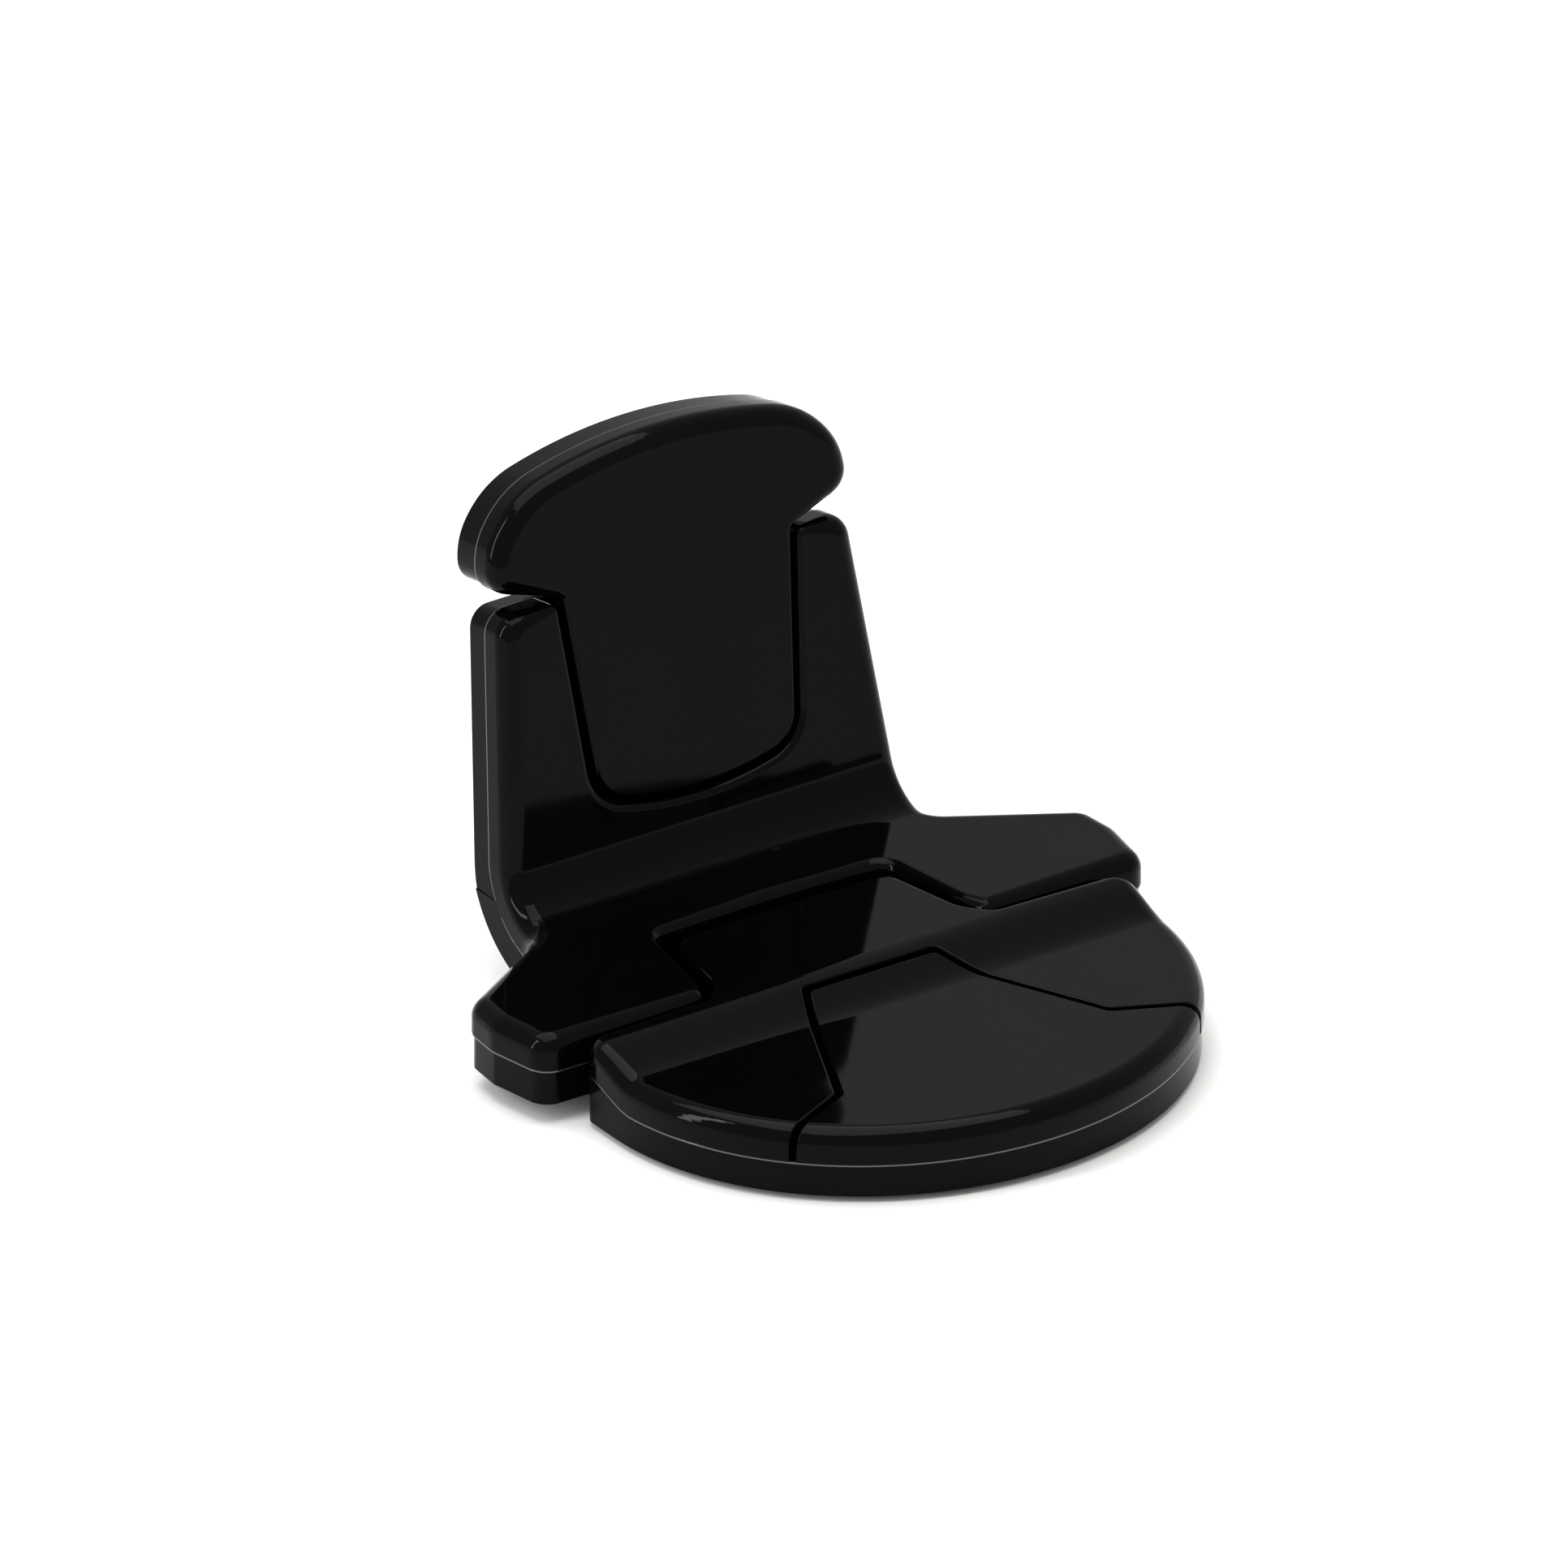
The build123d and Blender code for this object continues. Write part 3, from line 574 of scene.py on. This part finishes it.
# ---------------------------------------------------------------- materials
def material(name, colour, roughness, specular=0.5, metallic=0.0, spread=0.25, scale=300.0,
             bump=0.0, bump_scale=900.0):
    """Procedural material: colour and roughness vary gently with noise, with an optional fine bump."""
    made = bpy.data.materials.new(name)
    made.use_nodes = True
    nodes, links = made.node_tree.nodes, made.node_tree.links
    shader = nodes["Principled BSDF"]
    shader.inputs["Metallic"].default_value = metallic
    shader.inputs["Specular IOR Level"].default_value = specular
    where = nodes.new("ShaderNodeTexCoord")
    cloud = nodes.new("ShaderNodeTexNoise")
    cloud.inputs["Scale"].default_value = scale
    cloud.inputs["Detail"].default_value = 4.0
    links.new(where.outputs["Object"], cloud.inputs["Vector"])
    tones = nodes.new("ShaderNodeValToRGB")
    for element, position, factor in zip(tones.color_ramp.elements, (0.3, 0.7), (1 - spread, 1 + spread)):
        element.position = position
        element.color = (*[c * factor for c in colour], 1)
    links.new(cloud.outputs["Fac"], tones.inputs["Fac"])
    links.new(tones.outputs["Color"], shader.inputs["Base Color"])
    polish = nodes.new("ShaderNodeMapRange")
    polish.inputs["To Min"].default_value = roughness * (1 - spread)
    polish.inputs["To Max"].default_value = roughness * (1 + spread)
    links.new(cloud.outputs["Fac"], polish.inputs["Value"])
    links.new(polish.outputs["Result"], shader.inputs["Roughness"])
    if bump:
        grain = nodes.new("ShaderNodeTexNoise")
        grain.inputs["Scale"].default_value = bump_scale
        grain.inputs["Detail"].default_value = 6.0
        links.new(where.outputs["Object"], grain.inputs["Vector"])
        relief = nodes.new("ShaderNodeBump")
        relief.inputs["Strength"].default_value = bump
        relief.inputs["Distance"].default_value = 0.0001
        links.new(grain.outputs["Fac"], relief.inputs["Height"])
        links.new(relief.outputs["Normal"], shader.inputs["Normal"])
    return made


# painted highlight: the seam lip's dark grey is far lighter than the black covers so that the parting lines
# read bright; its rounded shape also catches the lamps' real light
seam_gloss_painted_highlight = material("seam_gloss_painted_highlight", (0.02, 0.02, 0.02), 0.12, specular=1.0, scale=60.0)
FINISHES = {
    "cover_gloss": material("cover_gloss", (0.0008, 0.0008, 0.00076), 0.06, specular=0.065, scale=40.0),
    "shell_gloss": material("shell_gloss", (0.0014, 0.0014, 0.0015), 0.1, specular=0.055, scale=60.0),
    "carriage_nylon": material("carriage_nylon", (0.018, 0.018, 0.02), 0.5, bump=0.25, bump_scale=4000.0),
    "rail_nylon": material("rail_nylon", (0.03, 0.03, 0.033), 0.45, bump=0.25, bump_scale=4000.0),
    "plate_steel": material("plate_steel", (0.012, 0.012, 0.013), 0.42, bump=0.6, bump_scale=5000.0),
    "pin_steel": material("pin_steel", (0.55, 0.55, 0.57), 0.28, metallic=1.0),
    "screw_steel": material("screw_steel", (0.05, 0.05, 0.055), 0.3, metallic=1.0, scale=1500.0),
    "felt": material("felt", (0.05, 0.05, 0.05), 0.95, bump=1.0, bump_scale=9000.0, spread=0.5, scale=3000.0),
    "foot_rubber": material("foot_rubber", (0.012, 0.012, 0.012), 0.75, bump=0.5, bump_scale=6000.0),
}


# ---------------------------------------------------------------- pieces
def even(depth):
    """The same thickness everywhere."""
    return lambda points: np.full(len(points), depth)


def head_thickness(points):
    """The head's cover is thinner along its tongue, which runs over the back's rails."""
    return np.where(points[:, 1] > HEAD_LOW_H, COVER, TONGUE_COVER)


def behind(place, depth):
    """The same places, this much deeper."""
    return lambda points, extra: place(points, depth + extra)


def finish_cover(obj, body, node):
    """Gives a moulded cover its body, slot and finish, in place of a CAD node."""
    obj.data.materials.append(FINISHES["cover_gloss"])
    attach(obj, body)
    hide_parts(node)


def seam(name, outline, place, body):
    """The lip along a parting line, between a cover and its shell."""
    outer = inset_loop(outline, np.full(len(outline), SEAM_OUT))
    outer[:, 2] = SEAM_ROUND
    inner = inset_loop(outline, np.full(len(outline), SEAM_OUT + SEAM_WIDE))
    obj = moulding(name, outer, behind(place, COVER), even(SEAM), cavity=inner)
    # the lip's lighter colour is a painted highlight along the parting line
    obj.data.materials.append(seam_gloss_painted_highlight)
    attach(obj, body)


bend_cuts = np.linspace(BEND_START, BEND_END, 37)
ramp_cuts = np.linspace(-RAMP_END, -RAMP_START, 31)

lower_outline = spaced(fillet_path(lower_corners()))
lower = moulding("lower_cover_moulding", lower_outline, bent_place, even(COVER), cuts=bend_cuts)
finish_cover(lower, "base", "lower_cover")

head_outline = spaced(fillet_path(head_corners()))
head_steps = [HEAD_LOW_H - 0.01, HEAD_LOW_H + 0.01]
head = moulding("head_cover_moulding", head_outline, back_place, head_thickness, cuts=head_steps)
finish_cover(head, "head", "head_cover")

tray_outline = spaced(fillet_path(tray_corners()))
outer_groove = spaced(fillet_path(insert_corners(GROOVE / 2)))
inner_groove = spaced(fillet_path(insert_corners(-GROOVE / 2)))
tray_rear = moulding(
    "tray_rear_moulding", tray_outline, tray_place, even(COVER), cuts=ramp_cuts,
    keep=lambda p: ~inside(p, outer_groove), edge_loops=[(outer_groove, -1.0)],
)
finish_cover(tray_rear, "tray", "tray_rear_cover")
tray_front = moulding(
    "tray_front_moulding", tray_outline, tray_place, even(COVER), cuts=ramp_cuts,
    keep=lambda p: inside(p, inner_groove), edge_loops=[(inner_groove, 1.0)],
)
finish_cover(tray_front, "tray", "tray_front_cover")

seam("lower_seam", lower_outline, bent_place, "base")
seam("head_seam", spaced(fillet_path(head_corners(with_tongue=False))), back_place, "head")
seam("tray_seam", tray_outline, tray_place, "tray")


# ---------------------------------------------------------------- nodes that keep their CAD shape
SHARP_TURN = math.radians(35)        # edges that turn by more are shaded sharp
BEVEL_TURN = math.radians(50)        # and by more than this are rounded


def smooth_group():
    """Modifier group that shades curved faces smooth and keeps edges sharp above an angle."""
    group = bpy.data.node_groups.new("smooth_by_angle", "GeometryNodeTree")
    group.interface.new_socket("Geometry", in_out="INPUT", socket_type="NodeSocketGeometry")
    group.interface.new_socket("Geometry", in_out="OUTPUT", socket_type="NodeSocketGeometry")
    nodes, links = group.nodes, group.links
    enter = nodes.new("NodeGroupInput")
    leave = nodes.new("NodeGroupOutput")
    bend = nodes.new("GeometryNodeInputMeshEdgeAngle")
    sharp = nodes.new("FunctionNodeCompare")
    sharp.operation = "GREATER_THAN"
    sharp.inputs["B"].default_value = SHARP_TURN
    normal = nodes.new("GeometryNodeSetMeshNormal")
    normal.mode = "SHARPNESS"
    normal.inputs["Remove Custom"].default_value = True
    normal.inputs["Face Sharpness"].default_value = False
    links.new(bend.outputs["Unsigned Angle"], sharp.inputs["A"])
    links.new(sharp.outputs["Result"], normal.inputs["Edge Sharpness"])
    links.new(enter.outputs["Geometry"], normal.inputs["Mesh"])
    links.new(normal.outputs["Mesh"], leave.inputs["Geometry"])
    return group


def soften(obj, width):
    """Rounds a node's sharp edges and smooths its curved faces."""
    weld(obj)
    obj.modifiers.new("smooth", "NODES").node_group = SMOOTH
    bevel = obj.modifiers.new("edge", "BEVEL")
    bevel.width = width * MM
    bevel.segments = 3
    bevel.limit_method = "ANGLE"
    bevel.angle_limit = BEVEL_TURN
    bevel.use_clamp_overlap = True
    bevel.harden_normals = True


# edge rounding by slot, mm
EDGE_ROUND = {
    "shell_gloss": 0.55,
    "plate_steel": 0.25,
    "carriage_nylon": 0.2,
    "rail_nylon": 0.2,
    "foot_rubber": 0.3,
}
SMOOTH = smooth_group()
slots = {row["node"]: row["material_slot"] for row in frame["record"]["subparts"]}
for node, obj in frame["nodes"].items():
    obj.data.materials.clear()
    obj.data.materials.append(FINISHES[slots[node]])
    if slots[node] in EDGE_ROUND:
        soften(obj, EDGE_ROUND[slots[node]])


# ---------------------------------------------------------------- stage, light and camera
FRAME_WIDTH = 212.5      # mm across the square picture
AIM_UP = 16.6            # mm from the datum up to the middle of the picture
AZIMUTH = math.radians(-34.2)
ELEVATION = math.radians(27.4)
CAMERA_AWAY = 1.0        # m


def make_floor():
    """Pale plain floor, reach metres each way."""
    mesh = bpy.data.meshes.new("floor")
    reach = 6.0
    corners = [(-reach, -reach, 0), (reach, -reach, 0), (reach, reach, 0), (-reach, reach, 0)]
    mesh.from_pydata(corners, [], [(0, 1, 2, 3)])
    floor = bpy.data.objects.new("floor", mesh)
    bpy.context.scene.collection.objects.link(floor)
    pale = material("floor_pale", (0.86, 0.86, 0.855), 0.9, specular=0.1, spread=0.006, scale=8.0)
    mesh.materials.append(pale)


def area_light(name, place, target, size, power):
    """Rectangular light in metres and watts, turned to its target."""
    light = bpy.data.lights.new(name, "AREA")
    light.shape = "RECTANGLE"
    light.size, light.size_y = size
    light.energy = power
    obj = bpy.data.objects.new(name, light)
    obj.location = place
    obj.rotation_euler = (Vector(target) - Vector(place)).to_track_quat("-Z", "Y").to_euler()
    bpy.context.scene.collection.objects.link(obj)


def make_world():
    """Even, slightly warm surroundings."""
    world = bpy.data.worlds.new("studio")
    world.use_nodes = True
    background = world.node_tree.nodes["Background"]
    background.inputs["Color"].default_value = (1.0, 0.985, 0.96, 1)
    background.inputs["Strength"].default_value = 0.8
    bpy.context.scene.world = world


def make_camera():
    """Camera at the side and height from which the stand is seen."""
    camera = bpy.data.cameras.new("camera")
    camera.type = "ORTHO"
    camera.ortho_scale = FRAME_WIDTH * MM
    obj = bpy.data.objects.new("camera", camera)
    towards = Vector((
        math.sin(AZIMUTH) * math.cos(ELEVATION),
        -math.cos(AZIMUTH) * math.cos(ELEVATION),
        math.sin(ELEVATION),
    ))
    turn = towards.to_track_quat("Z", "Y")
    up = turn @ Vector((0, 1, 0))
    aim = Vector((0, datum_y * MM, seat_z * MM)) + up * AIM_UP * MM
    obj.location = aim + towards * CAMERA_AWAY
    obj.rotation_mode = "QUATERNION"
    obj.rotation_quaternion = turn
    bpy.context.scene.collection.objects.link(obj)
    bpy.context.scene.camera = obj


make_floor()
make_world()
area_light("overhead", (0.0, 0.1, 1.6), (0, 0, 0), (1.6, 1.6), 26.0)
area_light("left_strip", (-0.9, 0.15, 0.5), (0, 0, 0.04), (0.12, 0.9), 5.0)
make_camera()
bpy.context.scene.view_settings.view_transform = "Standard"
